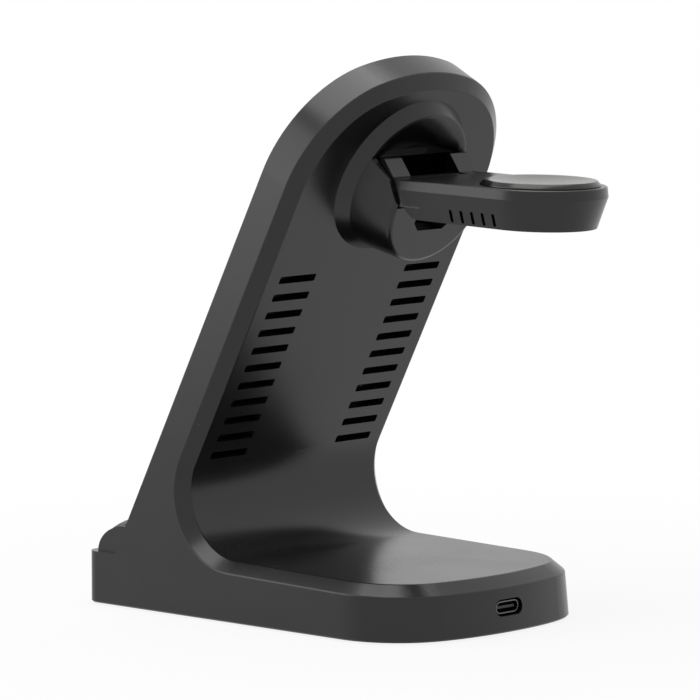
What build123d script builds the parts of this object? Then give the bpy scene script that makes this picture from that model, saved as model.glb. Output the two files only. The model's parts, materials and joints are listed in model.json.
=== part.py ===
"""Desk charging stand: leaning upright and base in one moulding, with a folding watch arm on its back.

Millimetres. The origin is on the table under the middle of the base, +Y points to the back, +Z up.
"""
import os
from math import atan2, cos, degrees, radians, sin, tan

from build123d import *

# Base
base_width = 79.0
base_length = 118.4
base_height = 17.2
base_slope = 1.37
base_front_corner = 4.0
base_rear_corner = 22.2
base_rear_bow = 98.0
base_rear_draft = 6.7
base_foot_edge = 0.4
foot_stand_out = 0.5

# Upright
lean = 62.5
upright_setback = 4.0
upright_thickness = 12.0
shoulder_height = 135.5
shoulder_offset = 8.0
crown_radius = 60.6
inner_corner_radius = 17.0
bevel_drop = 2.9
bevel_inset = 3.5
bevel_round = 0.6

# Phone ledge and its lip
ledge_height = 14.0
lip_height = 7.6
lip_thickness = 2.4
lip_setback = 2.6
lip_end_run = 17.0
cheek_inset = 1.6
cheek_thickness = 1.2
cheek_setback = 3.3
cheek_run = 10.9
cheek_root = 3.5

# Walls and clearances
side_wall = 4.0
back_wall = 2.2
base_wall = 2.6
roof_wall = 2.4
fit_gap = 0.2
slip_gap = 0.05
overcut = 1.0
wire_way_width = 46.0
wire_way_depth = 6.0
wire_way_front = 3.7
wire_way_low = 10.0
wire_way_high = 30.0

# Vent slots in the upright's back
vent_rows = 11
vent_pitch = 5.47
vent_length = 13.7
vent_height = 2.2
vent_round = 0.5
vent_column = 24.4
vent_top = 108.6

# Front panel
panel_thickness = 2.2
panel_inset = 2.4
panel_foot = 18.5
panel_seat = 3.0
tray_boss_radius = 2.4
tray_screw_grip = 2.2

# Bottom cover, its screws and the rubber pad under it
cover_thickness = 2.8
cover_inset = 1.3
cover_screw_x = 27.0
cover_screw_front = 15.0
cover_screw_rear = 26.0
boss_radius = 3.2
foot_inset = 5.0
foot_recess = 0.8

# Screws
screw_radius = 1.0
screw_head_radius = 1.9
screw_head_height = 1.1
screw_grip = 5.0

# Plug socket and main board
port_length = 10.6
port_height = 4.4
port_centre = 6.5
socket_width = 8.94
socket_height = 3.26
socket_depth = 7.4
socket_wall = 0.3
socket_back = 1.2
socket_recess = 0.8
tongue_width = 6.7
tongue_thickness = 0.7
tongue_depth = 5.6
board_width = 40.0
board_depth = 24.0
board_thickness = 1.6
board_rear_inset = 6.5
board_screw_inset = 3.5
chip_size = 6.0
chip_height = 1.0
chip_pitch = 12.0
choke_radius = 3.5
choke_height = 3.2
choke_setback = 6.0

# Counterweight
weight_width = 52.0
weight_depth = 44.0
weight_thickness = 3.0
weight_centre = -14.0

# Charging coils
coil_thickness = 1.4
ferrite_thickness = 1.0
phone_coil_outer = 22.0
phone_coil_inner = 9.0
phone_coil_centre = 92.0
phone_ferrite_radius = 24.0
tray_thickness = 1.6
tray_width = 60.0
tray_length = 62.0
tray_screw_inset = 4.5
earbud_coil_outer = 20.0
earbud_coil_inner = 8.0
earbud_coil_centre = 24.0
earbud_ferrite_radius = 21.5

# Hub on the upright's back
hub_above_shoulder = 3.3
hub_radius = 22.6
hub_rim_radius = 20.2
hub_ring_height = 3.7
hub_rim = 0.8
hub_rim_round = 0.35
hub_dish_floor = 1.4
hub_dish_radius = 10.0
carrier_height = 15.9
carrier_radius = 17.2
carrier_edge = 1.4
carrier_cut_ring = 8.0
carrier_cut_knee = 5.9
carrier_knee_height = 10.8
carrier_cut_face = 1.1
relief_half_width = 7.2
relief_corner = 2.4
relief_low = -7.4
relief_depth = 7.0
hub_screw_circle = 17.5
hub_screw_count = 3
hub_screw_grip = 2.4
wire_hole_radius = 2.0
wire_hole_x = 13.0

# Hinge
hinge_out = 11.7
hinge_up = 2.9
pin_radius = 1.5
barrel_radius = 3.8
lug_radius = 3.6
lug_half_width = 9.2
lug_angle = 225.0
lug_length = 9.5
washer_thickness = 0.3
washer_radius = 3.3
ear_inset = 1.4
ear_top = 8.4
ear_tip_front = -2.6
ear_tip_back = -4.2
ear_front_run = 3.6
ear_tip_round = 0.8
swing_gap = 0.6
ear_side_gap = 0.3
swing_start = 40.0
swing_turn = 180.0

# Watch arm, measured from the hinge
arm_droop = 1.2
arm_above = 3.5
arm_inner_end = 4.3
arm_pad_centre = 37.2
arm_half_width = 17.6
arm_edge_inset = 0.3
arm_edge_round = 0.5
arm_side_draft = 2.75
arm_height = 10.9
arm_inner_lift = 0.5
arm_edge = 2.7
arm_end_round = 4.2
arm_wall = 1.6
arm_cover_thickness = 1.6
arm_slot_count = 5
arm_slot_pitch = 3.63
arm_slot_first = 20.6
arm_slot_length = 3.4
arm_slot_width = 1.0
arm_slot_drop = 8.4

# Watch pad
pad_margin = 1.9
pad_stand_out = 1.4
pad_cap = 1.5
pad_neck_depth = 1.4
pad_rim = 1.2
dish_depth = 1.0
pad_edge = 0.4
watch_coil_margin = 2.2
watch_coil_inner = 5.2
watch_coil_thickness = 1.2
watch_magnet_radius = 4.4
watch_ferrite_margin = 1.6

# Arm board and cover screws
arm_board_width = 16.0
arm_board_length = 12.0
arm_board_thickness = 1.0
arm_board_post = 0.8
arm_post_radius = 1.2
arm_post_inset = 2.6
arm_screw_radius = 0.9
arm_screw_head_radius = 1.7
arm_screw_head_height = 0.8
arm_screw_grip = 4.5
arm_boss_radius = 2.2
arm_screw_near = 12.2
arm_screw_far = 16.8
arm_screw_x = 8.4

# Places worked out from the sizes above
half_width = base_width / 2
front_y = -base_length / 2
rear_y = base_length / 2
rim_z = foot_stand_out
ledge_z = rim_z + ledge_height
cover_top_z = rim_z + cover_thickness
port_z = rim_z + port_centre
slope = tan(radians(base_slope))
rise = sin(radians(lean))
run = cos(radians(lean))
foot_y = front_y + upright_setback
shoulder_radius = half_width - shoulder_offset
crown_drop = ((crown_radius - shoulder_radius) ** 2 - shoulder_offset**2) ** 0.5
crown_angle = degrees(atan2(crown_drop, shoulder_offset))
upright_top = shoulder_height - crown_drop + crown_radius
cheek_x = half_width - cheek_inset
lip_half_width = cheek_x - cheek_thickness
hub_centre = shoulder_height + hub_above_shoulder
ear_outer = arm_half_width - ear_inset
arm_top_half_width = arm_half_width - arm_edge_inset
arm_foot_half_width = arm_half_width - arm_side_draft
pad_radius = arm_half_width - pad_margin
pad_neck = pad_radius - pad_cap
dish_radius = pad_radius - pad_rim
watch_coil_outer = pad_neck - watch_coil_margin
watch_ferrite_radius = pad_neck - watch_ferrite_margin
cavity_depth = upright_thickness - back_wall
cutter = 2 * (base_width + base_length)


def base_top(y):
    """Height of the base's sloping top at a place along the base."""
    return rim_z + base_height - slope * (y - front_y)


front_plane = Plane(origin=(0, foot_y, rim_z), x_dir=(-1, 0, 0), z_dir=(0, rise, -run))
back_plane = front_plane.offset(upright_thickness)
hub_plane = Plane(
    origin=back_plane.from_local_coords((0, hub_centre, 0)), x_dir=(-1, 0, 0), z_dir=(0, rise, -run)
)
hinge = hub_plane.from_local_coords((0, hinge_up, hinge_out))
rear_lean = (0, -sin(radians(base_rear_draft)), cos(radians(base_rear_draft)))
cover_screw_places = [
    (x, y)
    for x in (-cover_screw_x, cover_screw_x)
    for y in (front_y + cover_screw_front, rear_y - cover_screw_rear)
]

# Plan of the base at the rim, seen from above
with BuildSketch() as base_plan:
    with BuildLine():
        Line((-half_width, 0), (-half_width, front_y))
        Line((-half_width, front_y), (half_width, front_y))
        Line((half_width, front_y), (half_width, 0))
        bow_end = rear_y - base_rear_bow + (base_rear_bow**2 - half_width**2) ** 0.5
        Line((half_width, 0), (half_width, bow_end))
        ThreePointArc((half_width, bow_end), (0, rear_y), (-half_width, bow_end))
        Line((-half_width, bow_end), (-half_width, 0))
    make_face()
    fillet(base_plan.vertices().group_by(Axis.Y)[0], base_front_corner)
    fillet(base_plan.vertices().group_by(Axis.Y)[-1], base_rear_corner)

# Outline of the upright on its front face, reaching down past the base
with BuildSketch() as upright_outline:
    with BuildLine():
        Polyline(
            (-half_width, shoulder_height),
            (-half_width, -base_length),
            (half_width, -base_length),
            (half_width, shoulder_height),
        )
        CenterArc((shoulder_offset, shoulder_height), shoulder_radius, 0, crown_angle)
        CenterArc((0, shoulder_height - crown_drop), crown_radius, crown_angle, 180 - 2 * crown_angle)
        CenterArc((-shoulder_offset, shoulder_height), shoulder_radius, 180 - crown_angle, crown_angle)
    make_face()


def below(height):
    """Cuts away the part of an upright outline that lies below a height up the lean."""
    with Locations((0, height)):
        Rectangle(cutter, cutter, align=(Align.CENTER, Align.MAX), mode=Mode.SUBTRACT)


# Inner corner where the upright's back meets the base's top, before it is rounded
corner_s = (
    base_top(foot_y + rise * upright_thickness) - rim_z + run * upright_thickness
) / (rise + slope * run)
corner_y = foot_y + run * corner_s + rise * upright_thickness
corner_z = base_top(corner_y)


def room_roof(y):
    """Height of the hollow base's ceiling: low under the phone ledge, higher behind the upright."""
    if y < corner_y:
        return ledge_z - roof_wall
    return base_top(y) - roof_wall


# Hollow in the base
with BuildPart() as base_room:
    with BuildSketch(Plane.YZ):
        with BuildLine():
            Polyline(
                (front_y, rim_z),
                (front_y, ledge_z - roof_wall),
                (corner_y, ledge_z - roof_wall),
                (corner_y, room_roof(corner_y)),
                (rear_y, room_roof(rear_y)),
                (rear_y, rim_z),
                close=True,
            )
        make_face()
    extrude(amount=half_width, both=True)
    with BuildSketch(Plane.XY.offset(rim_z)):
        add(base_plan.sketch)
        offset(amount=-base_wall, mode=Mode.REPLACE)
    extrude(amount=base_height, dir=rear_lean, mode=Mode.INTERSECT)

# Rear housing: upright, base, ledge, lip and cheeks in one moulding
cheek_front = front_y + cheek_setback
cheek_top = ledge_z + lip_height
cheek_back = foot_y + (ledge_height + lip_height) * run / rise + cheek_root
with BuildPart() as rear_housing:
    with BuildSketch(Plane.YZ) as side_profile:
        with BuildLine():
            Polyline(
                (front_y, rim_z),
                (front_y, ledge_z),
                (foot_y + ledge_height / tan(radians(lean)), ledge_z),
                (foot_y + run * upright_top, rim_z + rise * upright_top),
                (
                    foot_y + run * upright_top + rise * upright_thickness,
                    rim_z + rise * upright_top - run * upright_thickness,
                ),
                (corner_y, corner_z),
                (rear_y, base_top(rear_y)),
                (rear_y, rim_z),
                close=True,
            )
        make_face()
        inner_corner = side_profile.vertices().sort_by_distance((corner_y, corner_z))[0]
        fillet(inner_corner, inner_corner_radius)
    extrude(amount=half_width, both=True)
    with BuildSketch(front_plane):
        add(upright_outline.sketch)
    extrude(amount=base_length, both=True, mode=Mode.INTERSECT)
    # Round the plan's corners: upright at the front, leaning at the rear
    with BuildSketch(Plane.XY.offset(rim_z)):
        Rectangle(cutter, cutter, align=(Align.CENTER, Align.MAX))
        add(base_plan.sketch, mode=Mode.SUBTRACT)
    extrude(amount=base_height, mode=Mode.SUBTRACT)
    with BuildSketch(Plane.XY.offset(rim_z)):
        Rectangle(cutter, cutter, align=(Align.CENTER, Align.MIN))
        add(base_plan.sketch, mode=Mode.SUBTRACT)
    extrude(amount=base_height / cos(radians(base_rear_draft)), dir=rear_lean, mode=Mode.SUBTRACT)
    # One bevel runs round the upright's back, through the inner corner and round the base's top
    side_face = rear_housing.faces().sort_by(Axis.X)[-1]
    up_the_lean = Axis((0, 0, 0), (0, run, rise))
    bevel_edge = side_face.edges().filter_by(up_the_lean).sort_by(Axis.Y)[-1]
    chamfer(bevel_edge, length=bevel_drop, length2=bevel_inset, reference=side_face)
    side_face = rear_housing.faces().sort_by(Axis.X)[-1]
    outer_edge = side_face.edges().filter_by(up_the_lean).sort_by(Axis.Y)[-1]
    back_face = rear_housing.faces().filter_by(back_plane).sort_by(Axis.Z)[-1]
    inner_edge = back_face.edges().filter_by(up_the_lean)[0]
    fillet((outer_edge, inner_edge), bevel_round)
    chamfer(rear_housing.faces().sort_by(Axis.Z)[0].edges(), base_foot_edge)
    # Lip along the ledge
    with BuildSketch(Plane.XZ.offset(-(front_y + lip_setback))):
        with BuildLine():
            Line((lip_half_width, ledge_z), (-lip_half_width, ledge_z))
            EllipticalCenterArc(
                (lip_end_run - lip_half_width, ledge_z), lip_end_run, lip_height, start_angle=90, arc_size=90
            )
            Line(
                (lip_end_run - lip_half_width, ledge_z + lip_height),
                (lip_half_width - lip_end_run, ledge_z + lip_height),
            )
            EllipticalCenterArc(
                (lip_half_width - lip_end_run, ledge_z), lip_end_run, lip_height, start_angle=0, arc_size=90
            )
        make_face()
    extrude(amount=-lip_thickness)
    # Cheeks that join the lip's ends to the upright
    for side in (-1, 1):
        with BuildSketch(Plane.YZ.offset(side * cheek_x)):
            with BuildLine():
                Line((cheek_front, ledge_z), (cheek_back, ledge_z))
                Line((cheek_back, ledge_z), (cheek_back, cheek_top))
                Line((cheek_back, cheek_top), (cheek_front + cheek_run, cheek_top))
                EllipticalCenterArc(
                    (cheek_front + cheek_run, ledge_z), cheek_run, lip_height, start_angle=90, arc_size=90
                )
            make_face()
        extrude(amount=-side * cheek_thickness)
    # Room for the panel, the phone coil and the screws behind it
    with BuildSketch(front_plane):
        add(upright_outline.sketch)
        offset(amount=-panel_inset, mode=Mode.REPLACE)
        below(panel_foot)
    extrude(amount=panel_thickness, mode=Mode.SUBTRACT)
    with BuildSketch(front_plane.offset(panel_thickness)):
        add(upright_outline.sketch)
        offset(amount=-side_wall, mode=Mode.REPLACE)
        below(panel_foot + panel_seat)
    extrude(amount=cavity_depth - panel_thickness, mode=Mode.SUBTRACT)
    # Room in the base, and the way up for the wires
    add(base_room.part, mode=Mode.SUBTRACT)
    with BuildSketch(Plane.XY.offset(rim_z)):
        add(base_plan.sketch)
        offset(amount=-cover_inset, mode=Mode.REPLACE)
    extrude(amount=cover_thickness, mode=Mode.SUBTRACT)
    with BuildSketch(front_plane.offset(wire_way_front)):
        with Locations((0, wire_way_low)):
            Rectangle(wire_way_width, wire_way_high - wire_way_low, align=(Align.CENTER, Align.MIN))
    extrude(amount=wire_way_depth, mode=Mode.SUBTRACT)
    # Bosses for the bottom cover's screws, grown into the roof
    for x, y in cover_screw_places:
        with BuildSketch(Plane.XY.offset(cover_top_z)):
            with Locations((x, y)):
                Circle(boss_radius)
                Circle(screw_radius + slip_gap, mode=Mode.SUBTRACT)
        extrude(amount=room_roof(y) + roof_wall / 2 - cover_top_z)
    # Vent slots
    with BuildSketch(back_plane):
        with Locations((0, vent_top - vent_pitch * (vent_rows - 1) / 2)):
            with GridLocations(2 * vent_column, vent_pitch, 2, vent_rows):
                RectangleRounded(vent_length, vent_height, vent_round)
    extrude(amount=-back_wall - overcut, mode=Mode.SUBTRACT)
    # Holes for the hub's screws and the arm's wires
    with BuildSketch(hub_plane):
        with PolarLocations(hub_screw_circle, hub_screw_count, start_angle=90):
            Circle(screw_radius + fit_gap)
        with Locations((-wire_hole_x, 0), (wire_hole_x, 0)):
            Circle(wire_hole_radius)
    extrude(amount=-back_wall - overcut, mode=Mode.SUBTRACT)
    # Opening for the plug
    with BuildSketch(Plane.XZ.offset(-rear_y)):
        with Locations((0, port_z)):
            SlotOverall(port_length, port_height)
    extrude(amount=socket_depth, mode=Mode.SUBTRACT)
rear_housing.part.label = "rear_housing"


def screws(plane, places, radius, head_radius, head_height, grip):
    """Pan-head screws: the heads stand on the plane and the shanks go down behind it."""
    with BuildSketch(plane) as heads:
        with Locations(*places):
            Circle(head_radius)
    extrude(heads.sketch, amount=head_height)
    with BuildSketch(plane) as shanks:
        with Locations(*places):
            Circle(radius)
    extrude(shanks.sketch, amount=-grip)


# Front panel that the phone leans on, with bosses for the coil tray
tray_screw_places = [
    (x, phone_coil_centre + y)
    for x in (tray_screw_inset - tray_width / 2, tray_width / 2 - tray_screw_inset)
    for y in (tray_screw_inset - tray_length / 2, tray_length / 2 - tray_screw_inset)
]
panel_back = front_plane.offset(panel_thickness)
tray_front = panel_back.offset(coil_thickness + ferrite_thickness)
with BuildPart() as front_panel:
    with BuildSketch(front_plane):
        add(upright_outline.sketch)
        offset(amount=-panel_inset - fit_gap, mode=Mode.REPLACE)
        below(panel_foot + fit_gap)
    extrude(amount=panel_thickness)
    with BuildSketch(panel_back):
        with Locations(*tray_screw_places):
            Circle(tray_boss_radius)
            Circle(screw_radius + slip_gap, mode=Mode.SUBTRACT)
    extrude(amount=coil_thickness + ferrite_thickness)
front_panel.part.label = "front_panel"

# Phone coil, its ferrite sheet and the tray that holds both against the panel
with BuildPart() as phone_coil:
    with BuildSketch(panel_back):
        with Locations((0, phone_coil_centre)):
            Circle(phone_coil_outer)
            Circle(phone_coil_inner, mode=Mode.SUBTRACT)
    extrude(amount=coil_thickness)
phone_coil.part.label = "phone_coil"

with BuildPart() as phone_ferrite:
    with BuildSketch(panel_back.offset(coil_thickness)):
        with Locations((0, phone_coil_centre)):
            Circle(phone_ferrite_radius)
    extrude(amount=ferrite_thickness)
phone_ferrite.part.label = "phone_ferrite"

with BuildPart() as coil_tray:
    with BuildSketch(tray_front):
        with Locations((0, phone_coil_centre)):
            RectangleRounded(tray_width, tray_length, tray_screw_inset)
            Circle(phone_coil_inner, mode=Mode.SUBTRACT)
        with Locations(*tray_screw_places):
            Circle(screw_radius + fit_gap, mode=Mode.SUBTRACT)
    extrude(amount=tray_thickness)
coil_tray.part.label = "coil_tray"

with BuildPart() as coil_tray_screws:
    screws(
        tray_front.offset(tray_thickness),
        tray_screw_places,
        screw_radius,
        screw_head_radius,
        screw_head_height,
        tray_thickness + tray_screw_grip,
    )
coil_tray_screws.part.label = "coil_tray_screws"

# Bottom cover with recesses for the rubber pad and the screw heads, and posts for the board
board_top_z = port_z - socket_height / 2
board_bottom_z = board_top_z - board_thickness
board_centre_y = rear_y - board_rear_inset - board_depth / 2
board_screw_places = [
    (x, board_centre_y + y)
    for x in (board_screw_inset - board_width / 2, board_width / 2 - board_screw_inset)
    for y in (board_screw_inset - board_depth / 2, board_depth / 2 - board_screw_inset)
]
head_seat_z = rim_z + foot_recess + screw_head_height
with BuildPart() as bottom_cover:
    with BuildSketch(Plane.XY.offset(rim_z)):
        add(base_plan.sketch)
        offset(amount=-cover_inset - fit_gap, mode=Mode.REPLACE)
    extrude(amount=cover_thickness)
    with BuildSketch(Plane.XY.offset(cover_top_z)):
        with Locations(*board_screw_places):
            Circle(boss_radius)
    extrude(amount=board_bottom_z - cover_top_z)
    with BuildSketch(Plane.XY.offset(board_bottom_z)):
        with Locations(*board_screw_places):
            Circle(screw_radius + slip_gap)
    extrude(amount=-cover_thickness + screw_head_height, mode=Mode.SUBTRACT)
    with BuildSketch(Plane.XY.offset(rim_z)):
        add(base_plan.sketch)
        offset(amount=fit_gap - foot_inset, mode=Mode.REPLACE)
    extrude(amount=foot_recess, mode=Mode.SUBTRACT)
    with BuildSketch(Plane.XY.offset(rim_z)):
        with Locations(*cover_screw_places):
            Circle(screw_head_radius + fit_gap)
    extrude(amount=head_seat_z - rim_z, mode=Mode.SUBTRACT)
    with BuildSketch(Plane.XY.offset(rim_z)):
        with Locations(*cover_screw_places):
            Circle(screw_radius + fit_gap)
    extrude(amount=cover_thickness, mode=Mode.SUBTRACT)
bottom_cover.part.label = "bottom_cover"

with BuildPart() as cover_screws:
    screws(
        Plane(origin=(0, 0, head_seat_z), x_dir=(1, 0, 0), z_dir=(0, 0, -1)),
        [(x, -y) for x, y in cover_screw_places],
        screw_radius,
        screw_head_radius,
        screw_head_height,
        screw_grip,
    )
cover_screws.part.label = "cover_screws"

with BuildPart() as rubber_foot_pad:
    with BuildSketch():
        add(base_plan.sketch)
        offset(amount=-foot_inset, mode=Mode.REPLACE)
    extrude(amount=rim_z + foot_recess)
rubber_foot_pad.part.label = "rubber_foot_pad"

# Steel plate that keeps the stand steady
with BuildPart() as counterweight:
    with BuildSketch(Plane.XY.offset(cover_top_z)):
        with Locations((0, weight_centre)):
            RectangleRounded(weight_width, weight_depth, weight_thickness)
    extrude(amount=weight_thickness)
counterweight.part.label = "counterweight"

# Main board with its parts and screws
with BuildPart() as main_circuit_board:
    with BuildSketch(Plane.XY.offset(board_bottom_z)):
        with Locations((0, board_centre_y)):
            Rectangle(board_width, board_depth)
        with Locations(*board_screw_places):
            Circle(screw_radius + fit_gap, mode=Mode.SUBTRACT)
    extrude(amount=board_thickness)
main_circuit_board.part.label = "main_circuit_board"

with BuildPart() as board_components:
    with BuildSketch(Plane.XY.offset(board_top_z)):
        with Locations((0, board_centre_y)):
            with GridLocations(chip_pitch, 0, 2, 1):
                Rectangle(chip_size, chip_size)
    extrude(amount=chip_height)
    with BuildSketch(Plane.XY.offset(board_top_z)):
        with Locations((0, board_centre_y - choke_setback)):
            Circle(choke_radius)
    extrude(amount=choke_height)
board_components.part.label = "board_components"

with BuildPart() as circuit_board_screws:
    screws(
        Plane.XY.offset(board_top_z),
        board_screw_places,
        screw_radius,
        screw_head_radius,
        screw_head_height,
        board_thickness + board_bottom_z - cover_top_z + screw_head_height,
    )
circuit_board_screws.part.label = "circuit_board_screws"

# Plug socket: drawn shell with a closed back, and the contact tongue inside it
mouth_y = rear_y - tan(radians(base_rear_draft)) * port_centre - socket_recess
mouth_plane = Plane.XZ.offset(-mouth_y)
with BuildPart() as usb_c_socket:
    with BuildSketch(mouth_plane):
        with Locations((0, port_z)):
            SlotOverall(socket_width, socket_height)
    extrude(amount=socket_depth)
    with BuildSketch(mouth_plane):
        with Locations((0, port_z)):
            SlotOverall(socket_width - 2 * socket_wall, socket_height - 2 * socket_wall)
    extrude(amount=socket_depth - socket_back, mode=Mode.SUBTRACT)
usb_c_socket.part.label = "usb_c_socket"

with BuildPart() as usb_c_tongue:
    with BuildSketch(mouth_plane.offset(socket_depth - socket_back)):
        with Locations((0, port_z)):
            Rectangle(tongue_width, tongue_thickness)
    extrude(amount=-tongue_depth)
usb_c_tongue.part.label = "usb_c_tongue"

# Earbud coil and ferrite under the base's roof
roof_plane = Plane(
    origin=(0, 0, base_top(0) - roof_wall),
    x_dir=(1, 0, 0),
    z_dir=(0, sin(radians(base_slope)), cos(radians(base_slope))),
)
with BuildPart() as earbud_coil:
    with BuildSketch(roof_plane):
        with Locations((0, earbud_coil_centre)):
            Circle(earbud_coil_outer)
            Circle(earbud_coil_inner, mode=Mode.SUBTRACT)
    extrude(amount=-coil_thickness)
earbud_coil.part.label = "earbud_coil"

with BuildPart() as earbud_ferrite:
    with BuildSketch(roof_plane.offset(-coil_thickness)):
        with Locations((0, earbud_coil_centre)):
            Circle(earbud_ferrite_radius)
    extrude(amount=-ferrite_thickness)
earbud_ferrite.part.label = "earbud_ferrite"

# Hub: dished ring on the upright's back, with a half-round carrier for the arm
hub_section = Plane(origin=hub_plane.origin, x_dir=(1, 0, 0), z_dir=(0, run, rise))
hub_side = Plane(origin=hub_plane.origin, x_dir=(0, run, rise), z_dir=(-1, 0, 0))
hub_axis = Axis(hub_plane.origin, hub_plane.z_dir)
arm_plane = Plane(
    origin=hinge, x_dir=(1, 0, 0), z_dir=(0, sin(radians(arm_droop)), cos(radians(arm_droop)))
)
hinge_plane = Plane(origin=hinge, x_dir=arm_plane.y_dir, z_dir=(1, 0, 0))
ear_inner = lug_half_width + washer_thickness + 2 * slip_gap
swing_radius = (ear_top**2 + ear_tip_back**2) ** 0.5 + swing_gap
with BuildPart() as arm_hub:
    with BuildSketch(hub_section):
        with BuildLine():
            Polyline(
                (0, 0),
                (hub_rim_radius, 0),
                (hub_rim_radius, hub_ring_height),
                (carrier_radius, carrier_height),
                (0, carrier_height),
                close=True,
            )
        make_face()
    revolve(axis=hub_axis)
    fillet(arm_hub.faces().sort_by(hub_axis)[-1].edges(), carrier_edge)
    with BuildSketch(hub_side):
        with BuildLine():
            Polyline(
                (carrier_cut_ring, 0),
                (carrier_cut_ring, hub_ring_height),
                (carrier_cut_knee, carrier_knee_height),
                (carrier_cut_face, carrier_height),
                (carrier_cut_face, carrier_height + hub_radius),
                (2 * hub_radius, carrier_height + hub_radius),
                (2 * hub_radius, 0),
                close=True,
            )
        make_face()
    extrude(amount=hub_radius, both=True, mode=Mode.SUBTRACT)
    # Way for the wires under the arm
    with BuildSketch(hub_plane.offset(carrier_height - relief_depth)):
        with BuildLine():
            Polyline(
                (-relief_half_width, hub_radius),
                (-relief_half_width, relief_low + relief_corner),
                (relief_corner - relief_half_width, relief_low),
                (relief_half_width - relief_corner, relief_low),
                (relief_half_width, relief_low + relief_corner),
                (relief_half_width, hub_radius),
                close=True,
            )
        make_face()
    extrude(amount=relief_depth + overcut, mode=Mode.SUBTRACT)
    # Ring
    with BuildSketch(hub_section) as ring_profile:
        with BuildLine():
            Polyline(
                (0, 0),
                (hub_radius, 0),
                (hub_rim_radius, hub_ring_height),
                (hub_rim_radius - hub_rim, hub_ring_height),
                (hub_dish_radius, hub_dish_floor),
                (0, hub_dish_floor),
                close=True,
            )
        make_face()
        rim_middle = (hub_rim_radius - hub_rim / 2, hub_ring_height)
        fillet(ring_profile.vertices().sort_by_distance(rim_middle)[:2], hub_rim_round)
    revolve(axis=hub_axis)
    # Pocket that the arm's ears swing in
    with BuildSketch(hinge_plane):
        Circle(barrel_radius + swing_gap)
        with BuildLine():
            ear_arc = CenterArc((0, 0), swing_radius, swing_start, swing_turn)
            Line((0, 0), ear_arc @ 0)
            Line(ear_arc @ 1, (0, 0))
        make_face()
        with Locations((0, -barrel_radius - swing_gap)):
            Rectangle(
                hub_radius, barrel_radius + arm_above + 2 * swing_gap, align=(Align.MIN, Align.MIN)
            )
    extrude(amount=ear_outer + ear_side_gap, both=True, mode=Mode.SUBTRACT)
    # Lug between the ears
    with BuildSketch(hinge_plane):
        Circle(lug_radius)
        Rectangle(lug_length, 2 * lug_radius, rotation=lug_angle, align=(Align.MIN, Align.CENTER))
    extrude(amount=lug_half_width, both=True)
    with BuildSketch(hinge_plane):
        Circle(pin_radius + slip_gap)
    extrude(amount=lug_half_width, both=True, mode=Mode.SUBTRACT)
    # Screw and wire holes from below
    with BuildSketch(hub_plane):
        with PolarLocations(hub_screw_circle, hub_screw_count, start_angle=90):
            Circle(screw_radius + slip_gap)
        with Locations((-wire_hole_x, 0), (wire_hole_x, 0)):
            Circle(wire_hole_radius)
    extrude(amount=hub_screw_grip, mode=Mode.SUBTRACT)
arm_hub.part.label = "arm_hub"

with BuildPart() as hub_screws:
    with BuildSketch(hub_plane.offset(-back_wall)):
        with PolarLocations(hub_screw_circle, hub_screw_count, start_angle=90):
            Circle(screw_head_radius)
    extrude(amount=-screw_head_height)
    with BuildSketch(hub_plane.offset(-back_wall)):
        with PolarLocations(hub_screw_circle, hub_screw_count, start_angle=90):
            Circle(screw_radius)
    extrude(amount=back_wall + hub_screw_grip - fit_gap)
hub_screws.part.label = "hub_screws"

# Hinge pin and the washers between the lug and the ears
with BuildPart() as hinge_pin:
    with BuildSketch(hinge_plane):
        Circle(pin_radius)
    extrude(amount=ear_outer, both=True)
hinge_pin.part.label = "hinge_pin"

with BuildPart() as hinge_washers:
    for side in (-1, 1):
        with BuildSketch(hinge_plane.offset(side * (lug_half_width + slip_gap))):
            Circle(washer_radius)
            Circle(pin_radius + slip_gap, mode=Mode.SUBTRACT)
        extrude(amount=side * washer_thickness)
hinge_washers.part.label = "hinge_washers"

# Arm body: tapered shell, open below, with two hinge ears at its inner end
arm_room_start = arm_inner_end + arm_end_round + arm_wall
arm_foot = arm_above - arm_height
arm_reach = arm_pad_centre + arm_half_width
arm_room_top = arm_above - arm_wall
arm_bottom_tilt = radians(arm_droop) + atan2(arm_inner_lift, arm_reach - arm_inner_end)
arm_bottom_plane = Plane(
    origin=arm_plane.from_local_coords((0, arm_inner_end, arm_foot + arm_inner_lift)),
    x_dir=(1, 0, 0),
    z_dir=(0, sin(arm_bottom_tilt), cos(arm_bottom_tilt)),
)
arm_cover_top = arm_bottom_plane.offset(arm_cover_thickness)
arm_screw_places = [
    (0, arm_screw_near - arm_inner_end),
    (-arm_screw_x, arm_screw_far - arm_inner_end),
    (arm_screw_x, arm_screw_far - arm_inner_end),
]


def arm_outline(half, start):
    """Outline of the arm from above: straight sides from its inner end, round at the watch pad."""
    with Locations((0, start)):
        Rectangle(2 * half, arm_pad_centre - start, align=(Align.CENTER, Align.MIN))
    with Locations((0, arm_pad_centre)):
        Circle(half)


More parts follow.
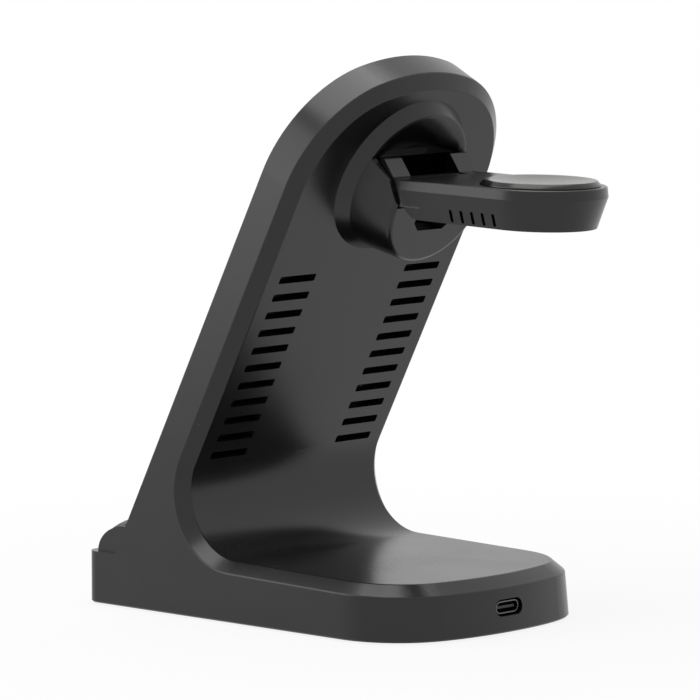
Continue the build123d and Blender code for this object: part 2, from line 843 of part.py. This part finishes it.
with BuildPart() as arm_body:
    for height, half in (
        (arm_foot, arm_foot_half_width),
        (arm_above - arm_edge, arm_half_width),
        (arm_above, arm_top_half_width),
    ):
        with BuildSketch(arm_plane.offset(height)):
            arm_outline(half, arm_inner_end)
    loft(ruled=True)
    top_face = arm_body.faces().sort_by(Axis.Z)[-1]
    fillet(top_face.edges() - top_face.edges().filter_by(Axis.X), arm_edge_round)
    with BuildSketch(hinge_plane):
        with BuildLine():
            Polyline(
                (0, arm_foot),
                (0, arm_foot + arm_inner_lift),
                (arm_inner_end, arm_foot + arm_inner_lift),
                (arm_reach, arm_foot),
                close=True,
            )
        make_face()
    extrude(amount=arm_half_width, both=True, mode=Mode.SUBTRACT)
    fillet(arm_body.edges().filter_by(Axis.X).sort_by(Axis.Z)[0], arm_end_round)
    for height, half in (
        (arm_foot, arm_foot_half_width - arm_wall),
        (arm_room_top, arm_half_width - arm_wall),
    ):
        with BuildSketch(arm_plane.offset(height)):
            arm_outline(half, arm_room_start)
    loft(ruled=True, mode=Mode.SUBTRACT)
    # Ears
    for side in (-1, 1):
        with BuildSketch(hinge_plane.offset(side * ear_inner)) as ear:
            with BuildLine():
                Polyline(
                    (arm_room_start, arm_above),
                    (ear_tip_front + ear_front_run, arm_above),
                    (ear_tip_front, ear_top),
                    (ear_tip_back, ear_top),
                    (-barrel_radius, 0),
                    (0, -barrel_radius),
                    (arm_room_start, -barrel_radius),
                    close=True,
                )
            make_face()
            fillet(ear.vertices().sort_by(Axis.Z)[-2:], ear_tip_round)
            Circle(barrel_radius)
        extrude(amount=side * (ear_outer - ear_inner))
    with BuildSketch(hinge_plane):
        Circle(pin_radius)
    extrude(amount=arm_half_width, both=True, mode=Mode.SUBTRACT)
    # Opening for the watch pad
    with BuildSketch(arm_plane.offset(arm_above)):
        with Locations((0, arm_pad_centre)):
            Circle(pad_neck + fit_gap / 2)
    extrude(amount=-arm_wall - overcut, mode=Mode.SUBTRACT)
    # Side slots
    with BuildSketch(hinge_plane):
        for index in range(arm_slot_count):
            with Locations((arm_slot_first + index * arm_slot_pitch, arm_above - arm_slot_drop)):
                SlotOverall(arm_slot_length, arm_slot_width, rotation=90)
    extrude(amount=arm_half_width, both=True, mode=Mode.SUBTRACT)
    # Bosses for the cover's screws
    with BuildSketch(arm_cover_top):
        with Locations(*arm_screw_places):
            Circle(arm_boss_radius)
            Circle(arm_screw_radius + slip_gap, mode=Mode.SUBTRACT)
    extrude(amount=arm_room_top + arm_wall / 2 - arm_foot - arm_inner_lift - arm_cover_thickness)
arm_body.part.label = "arm_body"

# Cover that closes the arm from below, with posts for the arm's board
pad_place = (0, arm_pad_centre - arm_inner_end)
cover_half = arm_foot_half_width - arm_wall - fit_gap
arm_post_places = [
    (x, arm_pad_centre - arm_inner_end + y)
    for x in (arm_post_inset - arm_board_width / 2, arm_board_width / 2 - arm_post_inset)
    for y in (arm_post_inset - arm_board_length / 2, arm_board_length / 2 - arm_post_inset)
]
with BuildPart() as arm_bottom_cover:
    with BuildSketch(arm_bottom_plane):
        with Locations((0, arm_room_start - arm_inner_end + fit_gap)):
            Rectangle(
                2 * cover_half,
                arm_pad_centre - arm_room_start - fit_gap,
                align=(Align.CENTER, Align.MIN),
            )
        with Locations(pad_place):
            Circle(cover_half)
    extrude(amount=arm_cover_thickness)
    with BuildSketch(arm_cover_top):
        with Locations(*arm_post_places):
            Circle(arm_post_radius)
    extrude(amount=arm_board_post)
    with BuildSketch(arm_bottom_plane):
        with Locations(*arm_screw_places):
            Circle(arm_screw_head_radius + fit_gap)
    extrude(amount=arm_screw_head_height, mode=Mode.SUBTRACT)
    with BuildSketch(arm_bottom_plane):
        with Locations(*arm_screw_places):
            Circle(arm_screw_radius + fit_gap)
    extrude(amount=arm_cover_thickness, mode=Mode.SUBTRACT)
arm_bottom_cover.part.label = "arm_bottom_cover"

with BuildPart() as arm_cover_screws:
    with BuildSketch(arm_bottom_plane):
        with Locations(*arm_screw_places):
            Circle(arm_screw_head_radius)
    extrude(amount=arm_screw_head_height)
    with BuildSketch(arm_bottom_plane.offset(arm_screw_head_height)):
        with Locations(*arm_screw_places):
            Circle(arm_screw_radius)
    extrude(amount=arm_screw_grip)
arm_cover_screws.part.label = "arm_cover_screws"

with BuildPart() as arm_circuit_board:
    with BuildSketch(arm_cover_top.offset(arm_board_post)):
        with Locations(pad_place):
            Rectangle(arm_board_width, arm_board_length)
    extrude(amount=arm_board_thickness)
arm_circuit_board.part.label = "arm_circuit_board"

# Watch pad: cap with a dished top, its neck let into the arm's top wall
pad_middle = arm_plane.from_local_coords((0, arm_pad_centre, 0))
pad_axis = Axis(pad_middle, arm_plane.z_dir)
pad_section = Plane(origin=pad_middle, x_dir=(1, 0, 0), z_dir=-arm_plane.y_dir)
pad_foot = arm_room_top - pad_neck_depth
pad_top = arm_above + pad_stand_out
dish_curve = (dish_radius**2 + dish_depth**2) / (2 * dish_depth)
with BuildPart() as watch_puck:
    with BuildSketch(pad_section):
        with BuildLine():
            Polyline(
                (0, pad_top - dish_depth),
                (0, pad_foot),
                (pad_neck, pad_foot),
                (pad_neck, arm_above),
                (pad_radius, arm_above),
                (pad_radius, pad_top),
                (dish_radius, pad_top),
            )
            RadiusArc((dish_radius, pad_top), (0, pad_top - dish_depth), dish_curve)
        make_face()
    revolve(axis=pad_axis)
    fillet(watch_puck.edges().filter_by(GeomType.CIRCLE).group_by(Axis.Z)[-1], pad_edge)
watch_puck.part.label = "watch_puck"

# Watch coil, magnet and ferrite glued under the pad
with BuildPart() as watch_coil:
    with BuildSketch(arm_plane.offset(pad_foot)):
        with Locations((0, arm_pad_centre)):
            Circle(watch_coil_outer)
            Circle(watch_coil_inner, mode=Mode.SUBTRACT)
    extrude(amount=-watch_coil_thickness)
watch_coil.part.label = "watch_coil"

with BuildPart() as watch_magnet:
    with BuildSketch(arm_plane.offset(pad_foot)):
        with Locations((0, arm_pad_centre)):
            Circle(watch_magnet_radius)
    extrude(amount=-watch_coil_thickness)
watch_magnet.part.label = "watch_magnet"

with BuildPart() as watch_ferrite:
    with BuildSketch(arm_plane.offset(pad_foot - watch_coil_thickness)):
        with Locations((0, arm_pad_centre)):
            Circle(watch_ferrite_radius)
    extrude(amount=-ferrite_thickness)
watch_ferrite.part.label = "watch_ferrite"

os.makedirs("parts", exist_ok=True)
for piece in (
    rear_housing,
    front_panel,
    phone_coil,
    phone_ferrite,
    coil_tray,
    coil_tray_screws,
    bottom_cover,
    cover_screws,
    rubber_foot_pad,
    counterweight,
    main_circuit_board,
    board_components,
    circuit_board_screws,
    usb_c_socket,
    usb_c_tongue,
    earbud_coil,
    earbud_ferrite,
    arm_hub,
    hub_screws,
    hinge_pin,
    hinge_washers,
    arm_body,
    arm_bottom_cover,
    arm_cover_screws,
    arm_circuit_board,
    watch_puck,
    watch_coil,
    watch_magnet,
    watch_ferrite,
):
    export_step(piece.part, f"parts/{piece.part.label}.step")
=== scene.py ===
"""Looks of a desk charging stand: black satin mouldings, a polished watch pad and a dark plug socket.

Metres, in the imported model's own frame: +Z up, +Y to the back, the table at Z = 0.
"""
import json
from math import asin, radians, tau

import bmesh
import bpy
from mathutils import Matrix, Vector


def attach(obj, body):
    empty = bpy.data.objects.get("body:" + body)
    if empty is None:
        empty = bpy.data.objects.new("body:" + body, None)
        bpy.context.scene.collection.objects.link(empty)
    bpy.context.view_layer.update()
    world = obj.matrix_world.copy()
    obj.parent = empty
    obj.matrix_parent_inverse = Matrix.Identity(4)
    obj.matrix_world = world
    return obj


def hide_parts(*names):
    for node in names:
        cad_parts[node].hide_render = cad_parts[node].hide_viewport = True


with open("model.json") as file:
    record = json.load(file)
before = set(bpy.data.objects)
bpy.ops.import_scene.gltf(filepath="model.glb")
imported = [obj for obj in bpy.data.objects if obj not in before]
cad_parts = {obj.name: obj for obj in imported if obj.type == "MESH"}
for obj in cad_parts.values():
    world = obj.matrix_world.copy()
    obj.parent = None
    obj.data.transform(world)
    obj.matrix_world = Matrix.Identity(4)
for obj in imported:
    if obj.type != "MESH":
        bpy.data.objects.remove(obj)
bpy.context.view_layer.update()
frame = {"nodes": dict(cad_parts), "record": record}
nodes = frame["nodes"]

# Camera of the photograph
CAMERA_PLACE = Vector((1.00520, 0.92974, 0.22035))
CAMERA_AIM = Vector((-0.01193, -0.0092, 0.06847))
CAMERA_FAR = 20.0
SENSOR = 36.0
FOCAL_PIXELS = 5152.9
PICTURE_PIXELS = 700.0

# Studio, in metres
FLOOR_SIZE = 6.0
FLOOR_COLOUR = (0.93, 0.93, 0.93, 1.0)
FLOOR_ROUGHNESS = 0.9
FLOOR_WHITE = 0.88
SHADOW_REACH = (0.08, 0.30)
ROOM_LEVEL = 0.18
KEY_WATTS = 4.3
KEY_SIZE = (0.9, 0.9)
KEY_PLACE = Vector((0.62, -0.62, 0.36))
TOP_WATTS = 14.5
TOP_SIZE = (1.6, 1.0)
TOP_PLACE = Vector((0.08, -0.06, 1.40))
STRAIGHT_DOWN = Vector((0.0, 0.0, -1.0))

# Watch pad, in the arm's tilted frame: heights along its axis from the middle
PAD_MIDDLE = Vector((0.0, 0.0684438, 0.114467))
PAD_TILT = radians(-1.2)
PAD_RADIUS = 0.0157
PAD_NECK = 0.0142
PAD_FOOT = 0.0005
PAD_SEAT = 0.0035
PAD_WALL = 0.0038
PAD_TOP = 0.0049
RIM_INNER = 0.0143
RIM_OUTER = 0.0147
DISH_CURVE = 0.105625
DISH_STEPS = 12
PAD_STEPS = 192
FINE_EDGE = 0.00015
FINE_EDGE_STEPS = 3
CREASE_ANGLE = radians(20)
MERGE_DISTANCE = 1e-6

# Surface of the plastics and metals
PLASTIC_INDEX = 1.46
GRAIN_DETAIL = 3.0
CLOUD_DETAIL = 4.0
CLOUD_SPREAD = (0.3, 0.7)
METAL_CLOUDS = 400.0
BUMP_STRENGTH = 0.15
DUST_COLOUR = (0.09, 0.088, 0.085, 1.0)

# Finish of each material slot: darkest and lightest colour, range of roughness, and what sets it apart
SATIN_BLACK = {"dark": (0.0045, 0.0045, 0.0048), "light": (0.0075, 0.0075, 0.0079), "rough": (0.25, 0.28)}
MOULDINGS = {
    "housing_plastic": {**SATIN_BLACK, "dust": 0.04},
    "panel_plastic": {
        "dark": (0.0058, 0.0058, 0.0062), "light": (0.0092, 0.0092, 0.0096), "rough": (0.31, 0.34), "dust": 0.04,
    },
    "arm_plastic": {**SATIN_BLACK, "dust": 0.03},
    "pad_plastic": {
        "dark": (0.0062, 0.0058, 0.0056), "light": (0.0092, 0.0086, 0.0084), "rough": (0.18, 0.25),
        "depth": 0.00001, "sheen": (1.0, 0.97, 0.92),
    },
    "rubber": {
        "dark": (0.010, 0.010, 0.010), "light": (0.016, 0.016, 0.016), "rough": (0.65, 0.75), "grain": 2500.0,
    },
    "contact_plastic": {"dark": (0.012, 0.012, 0.012), "light": (0.018, 0.018, 0.018), "rough": (0.35, 0.45)},
    "component_black": {"dark": (0.014, 0.014, 0.014), "light": (0.022, 0.022, 0.022), "rough": (0.45, 0.55)},
    "ferrite": {
        "dark": (0.035, 0.035, 0.038), "light": (0.055, 0.055, 0.058), "rough": (0.5, 0.62), "grain": 2500.0,
    },
    "board_green": {
        "dark": (0.012, 0.09, 0.035), "light": (0.02, 0.13, 0.05), "rough": (0.3, 0.4), "grain": 1800.0,
    },
    "washer_nylon": {"dark": (0.62, 0.61, 0.57), "light": (0.7, 0.69, 0.65), "rough": (0.4, 0.5)},
}
METALS = {
    "screw_steel": {"dark": (0.30, 0.30, 0.31), "light": (0.42, 0.42, 0.43), "rough": (0.28, 0.4)},
    "socket_steel": {"dark": (0.10, 0.10, 0.105), "light": (0.16, 0.16, 0.165), "rough": (0.30, 0.40)},
    "weight_steel": {"dark": (0.38, 0.38, 0.39), "light": (0.5, 0.5, 0.52), "rough": (0.35, 0.5)},
    "coil_copper": {"dark": (0.55, 0.22, 0.1), "light": (0.72, 0.33, 0.17), "rough": (0.3, 0.42)},
    "magnet_nickel": {"dark": (0.5, 0.49, 0.47), "light": (0.6, 0.59, 0.57), "rough": (0.15, 0.25)},
}


# Shader helpers
def add_node(tree, kind, place, **settings):
    """A shader node at a place in the tree, with its settings."""
    node = tree.nodes.new(kind)
    node.location = place
    for name, value in settings.items():
        setattr(node, name, value)
    return node


def eased(tree, value, span, ends, place):
    """A value eased from one end to the other over a span."""
    node = add_node(tree, "ShaderNodeMapRange", place, interpolation_type="SMOOTHSTEP")
    node.inputs["From Min"].default_value = span[0]
    node.inputs["From Max"].default_value = span[1]
    node.inputs["To Min"].default_value = ends[0]
    node.inputs["To Max"].default_value = ends[1]
    tree.links.new(value, node.inputs["Value"])
    return node.outputs["Result"]


def combined(tree, operation, first, second, place):
    """Two values joined by an operation of the Math node."""
    node = add_node(tree, "ShaderNodeMath", place, operation=operation)
    for socket, value in zip(node.inputs, (first, second)):
        if isinstance(value, float):
            socket.default_value = value
        else:
            tree.links.new(value, socket)
    return node.outputs["Value"]


def make_group(name, inputs, outputs):
    """An empty shader node group with named sockets, and its input and output nodes."""
    group = bpy.data.node_groups.new(name, "ShaderNodeTree")
    for label, value in inputs:
        socket = group.interface.new_socket(label, in_out="INPUT", socket_type="NodeSocketFloat")
        socket.default_value = value
    for label in outputs:
        group.interface.new_socket(label, in_out="OUTPUT", socket_type="NodeSocketFloat")
    return group, add_node(group, "NodeGroupInput", (-900, 0)), add_node(group, "NodeGroupOutput", (700, 0))


def moulded_grain_group():
    """Grain of a textured mould: fine pits for the bump, and slow clouds of gloss and shade."""
    group, entry, result = make_group(
        "moulded_grain",
        [("Grain Scale", 5200.0), ("Cloud Scale", 55.0), ("Rough Low", 0.38), ("Rough High", 0.48)],
        ["Height", "Roughness", "Shade"],
    )
    links = group.links
    place = add_node(group, "ShaderNodeTexCoord", (-900, 300))
    grain = add_node(group, "ShaderNodeTexNoise", (-600, 300))
    grain.inputs["Detail"].default_value = GRAIN_DETAIL
    links.new(place.outputs["Object"], grain.inputs["Vector"])
    links.new(entry.outputs["Grain Scale"], grain.inputs["Scale"])
    links.new(grain.outputs["Fac"], result.inputs["Height"])
    clouds = add_node(group, "ShaderNodeTexNoise", (-600, 0))
    clouds.inputs["Detail"].default_value = CLOUD_DETAIL
    links.new(place.outputs["Object"], clouds.inputs["Vector"])
    links.new(entry.outputs["Cloud Scale"], clouds.inputs["Scale"])
    spread = add_node(group, "ShaderNodeMapRange", (-200, 0))
    spread.inputs["From Min"].default_value = CLOUD_SPREAD[0]
    spread.inputs["From Max"].default_value = CLOUD_SPREAD[1]
    links.new(clouds.outputs["Fac"], spread.inputs["Value"])
    links.new(entry.outputs["Rough Low"], spread.inputs["To Min"])
    links.new(entry.outputs["Rough High"], spread.inputs["To Max"])
    links.new(spread.outputs["Result"], result.inputs["Roughness"])
    links.new(clouds.outputs["Fac"], result.inputs["Shade"])
    return group


def dust_group():
    """Sparse dust specks, as a mask: small round spots that only some cells of the pattern hold."""
    group, entry, result = make_group(
        "dust_specks", [("Scale", 260.0), ("Size", 0.05), ("Share", 0.82)], ["Mask"]
    )
    links = group.links
    place = add_node(group, "ShaderNodeTexCoord", (-900, 300))
    cells = add_node(group, "ShaderNodeTexVoronoi", (-600, 300))
    links.new(place.outputs["Object"], cells.inputs["Vector"])
    links.new(entry.outputs["Scale"], cells.inputs["Scale"])
    spot = combined(group, "LESS_THAN", cells.outputs["Distance"], entry.outputs["Size"], (-300, 300))
    parts = add_node(group, "ShaderNodeSeparateColor", (-300, 100))
    links.new(cells.outputs["Color"], parts.inputs["Color"])
    chosen = combined(group, "GREATER_THAN", parts.outputs["Red"], entry.outputs["Share"], (0, 100))
    links.new(combined(group, "MULTIPLY", spot, chosen, (300, 200)), result.inputs["Mask"])
    return group


GRAIN = moulded_grain_group()
DUST = dust_group()


# Materials
def new_material(name):
    """An empty material with a Principled shader; returns the material, its tree and the shader."""
    material = bpy.data.materials.new(name)
    material.use_nodes = True
    tree = material.node_tree
    shader = tree.nodes["Principled BSDF"]
    shader.location = (500, 0)
    return material, tree, shader


def clouded(tree, shader, dark, light, rough, grain):
    """Gloss and two close shades that drift in clouds; returns the grain's node and the colour."""
    texture = add_node(tree, "ShaderNodeGroup", (-600, 0), node_tree=GRAIN)
    texture.inputs["Grain Scale"].default_value = grain
    texture.inputs["Rough Low"].default_value = rough[0]
    texture.inputs["Rough High"].default_value = rough[1]
    shade = add_node(tree, "ShaderNodeMix", (-200, 200), data_type="RGBA")
    shade.inputs["A"].default_value = (*dark, 1.0)
    shade.inputs["B"].default_value = (*light, 1.0)
    tree.links.new(texture.outputs["Shade"], shade.inputs["Factor"])
    tree.links.new(texture.outputs["Roughness"], shader.inputs["Roughness"])
    return texture, shade.outputs["Result"]


def moulding(name, dark, light, rough, grain=5200.0, depth=0.00003, dust=0.0, sheen=(1.0, 1.0, 1.0)):
    """Moulded plastic: two close shades in clouds, gloss that drifts, fine grain and a little dust."""
    material, tree, shader = new_material(name)
    links = tree.links
    shader.inputs["IOR"].default_value = PLASTIC_INDEX
    shader.inputs["Specular Tint"].default_value = (*sheen, 1.0)
    texture, colour = clouded(tree, shader, dark, light, rough, grain)
    if dust:
        specks = add_node(tree, "ShaderNodeGroup", (-600, 400), node_tree=DUST)
        specks.inputs["Share"].default_value = 1.0 - dust
        dusty = add_node(tree, "ShaderNodeMix", (100, 300), data_type="RGBA")
        dusty.inputs["B"].default_value = DUST_COLOUR
        links.new(specks.outputs["Mask"], dusty.inputs["Factor"])
        links.new(colour, dusty.inputs["A"])
        colour = dusty.outputs["Result"]
    links.new(colour, shader.inputs["Base Color"])
    bump = add_node(tree, "ShaderNodeBump", (200, -300))
    bump.inputs["Strength"].default_value = BUMP_STRENGTH
    bump.inputs["Distance"].default_value = depth
    links.new(texture.outputs["Height"], bump.inputs["Height"])
    links.new(bump.outputs["Normal"], shader.inputs["Normal"])
    return material


def metal(name, dark, light, rough, grain=1500.0):
    """Plated or drawn metal with two close shades and gloss that drift in small clouds."""
    material, tree, shader = new_material(name)
    shader.inputs["Metallic"].default_value = 1.0
    texture, colour = clouded(tree, shader, dark, light, rough, grain)
    texture.inputs["Cloud Scale"].default_value = METAL_CLOUDS
    tree.links.new(colour, shader.inputs["Base Color"])
    return material


FINISHES = {slot: moulding(slot, **look) for slot, look in MOULDINGS.items()}
FINISHES |= {slot: metal(slot, **look) for slot, look in METALS.items()}
for entry in frame["record"]["subparts"]:
    mesh = nodes[entry["node"]].data
    mesh.materials.clear()
    mesh.materials.append(FINISHES[entry["material_slot"]])


# Piece of the scene
def watch_pad():
    """Dished pad on the arm, with a rim that slopes in to its narrow top; stands for the plain solid."""
    bm = bmesh.new()
    rim = bm.verts.new((RIM_INNER, 0.0, PAD_TOP))
    dish_lowest = PAD_TOP - RIM_INNER**2 / (2 * DISH_CURVE)
    dish = bmesh.ops.spin(
        bm, geom=[rim], cent=(0.0, 0.0, dish_lowest + DISH_CURVE), axis=(0.0, 1.0, 0.0),
        angle=asin(RIM_INNER / DISH_CURVE), steps=DISH_STEPS,
    )
    middle = next(item for item in dish["geom_last"] if isinstance(item, bmesh.types.BMVert))
    middle.co.x = 0.0
    last = rim
    for radius, height in (
        (RIM_OUTER, PAD_TOP), (PAD_RADIUS, PAD_WALL), (PAD_RADIUS, PAD_SEAT), (PAD_NECK, PAD_SEAT),
        (PAD_NECK, PAD_FOOT), (0.0, PAD_FOOT),
    ):
        corner = bm.verts.new((radius, 0.0, height))
        bm.edges.new((last, corner))
        last = corner
    bmesh.ops.spin(
        bm, geom=bm.verts[:] + bm.edges[:], axis=(0.0, 0.0, 1.0), cent=(0.0, 0.0, 0.0), angle=tau,
        steps=PAD_STEPS, use_merge=True,
    )
    bmesh.ops.remove_doubles(bm, verts=bm.verts[:], dist=MERGE_DISTANCE)
    bmesh.ops.recalc_face_normals(bm, faces=bm.faces[:])
    creases = [edge for edge in bm.edges if edge.is_manifold and edge.calc_face_angle() > CREASE_ANGLE]
    bmesh.ops.bevel(
        bm, geom=creases, offset=FINE_EDGE, affect="EDGES", segments=FINE_EDGE_STEPS, profile=0.5, material=-1,
        clamp_overlap=True,
    )
    bmesh.ops.rotate(bm, verts=bm.verts[:], cent=(0.0, 0.0, 0.0), matrix=Matrix.Rotation(PAD_TILT, 3, "X"))
    bmesh.ops.translate(bm, verts=bm.verts[:], vec=PAD_MIDDLE)
    mesh = bpy.data.meshes.new("watch_pad")
    bm.to_mesh(mesh)
    bm.free()
    mesh.shade_smooth()
    mesh.set_sharp_from_angle(angle=CREASE_ANGLE)
    mesh.materials.append(FINISHES["pad_plastic"])
    pad = bpy.data.objects.new("watch_pad", mesh)
    bpy.context.scene.collection.objects.link(pad)
    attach(pad, "watch_arm")
    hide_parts("watch_puck")


# Stage, light and camera
def background_seen(tree):
    """1 for the rays that show the white background: straight, mirrored or through a clear piece."""
    rays = add_node(tree, "ShaderNodeLightPath", (-900, 400))
    seen = combined(tree, "MAXIMUM", rays.outputs["Is Camera Ray"], rays.outputs["Is Glossy Ray"], (-700, 400))
    return combined(tree, "MAXIMUM", seen, rays.outputs["Is Transmission Ray"], (-500, 400))


def floor():
    """Pale floor: white where the background is seen, with the object's shadow left in it close by."""
    bm = bmesh.new()
    bmesh.ops.create_grid(bm, x_segments=1, y_segments=1, size=FLOOR_SIZE / 2)
    mesh = bpy.data.meshes.new("floor")
    bm.to_mesh(mesh)
    bm.free()
    table = bpy.data.objects.new("floor", mesh)
    bpy.context.scene.collection.objects.link(table)
    material, tree, shader = new_material("floor_white")
    shader.inputs["Roughness"].default_value = FLOOR_ROUGHNESS
    shader.inputs["Specular IOR Level"].default_value = 0.0
    shader.inputs["Base Color"].default_value = FLOOR_COLOUR
    place = add_node(tree, "ShaderNodeTexCoord", (-900, 0))
    distance = add_node(tree, "ShaderNodeVectorMath", (-700, 100), operation="LENGTH")
    tree.links.new(place.outputs["Object"], distance.inputs[0])
    white = eased(tree, distance.outputs["Value"], SHADOW_REACH, (FLOOR_WHITE, 1.0), (-500, 100))
    share = combined(tree, "MULTIPLY", background_seen(tree), white, (-300, 300))
    glow = add_node(tree, "ShaderNodeEmission", (500, -400))
    mix = add_node(tree, "ShaderNodeMixShader", (800, 0))
    tree.links.new(share, mix.inputs["Fac"])
    tree.links.new(shader.outputs["BSDF"], mix.inputs[1])
    tree.links.new(glow.outputs["Emission"], mix.inputs[2])
    tree.links.new(mix.outputs["Shader"], tree.nodes["Material Output"].inputs["Surface"])
    mesh.materials.append(material)


def lamps():
    """Wide soft key from the left of the photograph and a wide top light."""
    for name, watts, size, place, aim in (
        ("key_light", KEY_WATTS, KEY_SIZE, KEY_PLACE, CAMERA_AIM - KEY_PLACE),
        ("top_light", TOP_WATTS, TOP_SIZE, TOP_PLACE, STRAIGHT_DOWN),
    ):
        lamp = bpy.data.lights.new(name, "AREA")
        lamp.shape = "RECTANGLE"
        lamp.energy = watts
        lamp.size, lamp.size_y = size
        holder = bpy.data.objects.new(name, lamp)
        holder.location = place
        holder.rotation_euler = aim.to_track_quat("-Z", "Y").to_euler()
        bpy.context.scene.collection.objects.link(holder)


def surround():
    """White where the background is seen, and a faint even light on the object."""
    world = bpy.data.worlds.new("surround")
    world.use_nodes = True
    bpy.context.scene.world = world
    tree = world.node_tree
    shown = combined(tree, "MAXIMUM", background_seen(tree), ROOM_LEVEL, (0, 200))
    tree.links.new(shown, tree.nodes["Background"].inputs["Color"])


def photograph_camera():
    """Camera at the photograph's place, with its long lens."""
    data = bpy.data.cameras.new("camera")
    data.sensor_width = SENSOR
    data.lens = FOCAL_PIXELS / PICTURE_PIXELS * SENSOR
    data.clip_end = CAMERA_FAR
    camera = bpy.data.objects.new("camera", data)
    camera.location = CAMERA_PLACE
    camera.rotation_euler = (CAMERA_AIM - CAMERA_PLACE).to_track_quat("-Z", "Y").to_euler()
    bpy.context.scene.collection.objects.link(camera)
    bpy.context.scene.camera = camera


watch_pad()
floor()
lamps()
surround()
photograph_camera()
bpy.context.scene.view_settings.view_transform = "Standard"
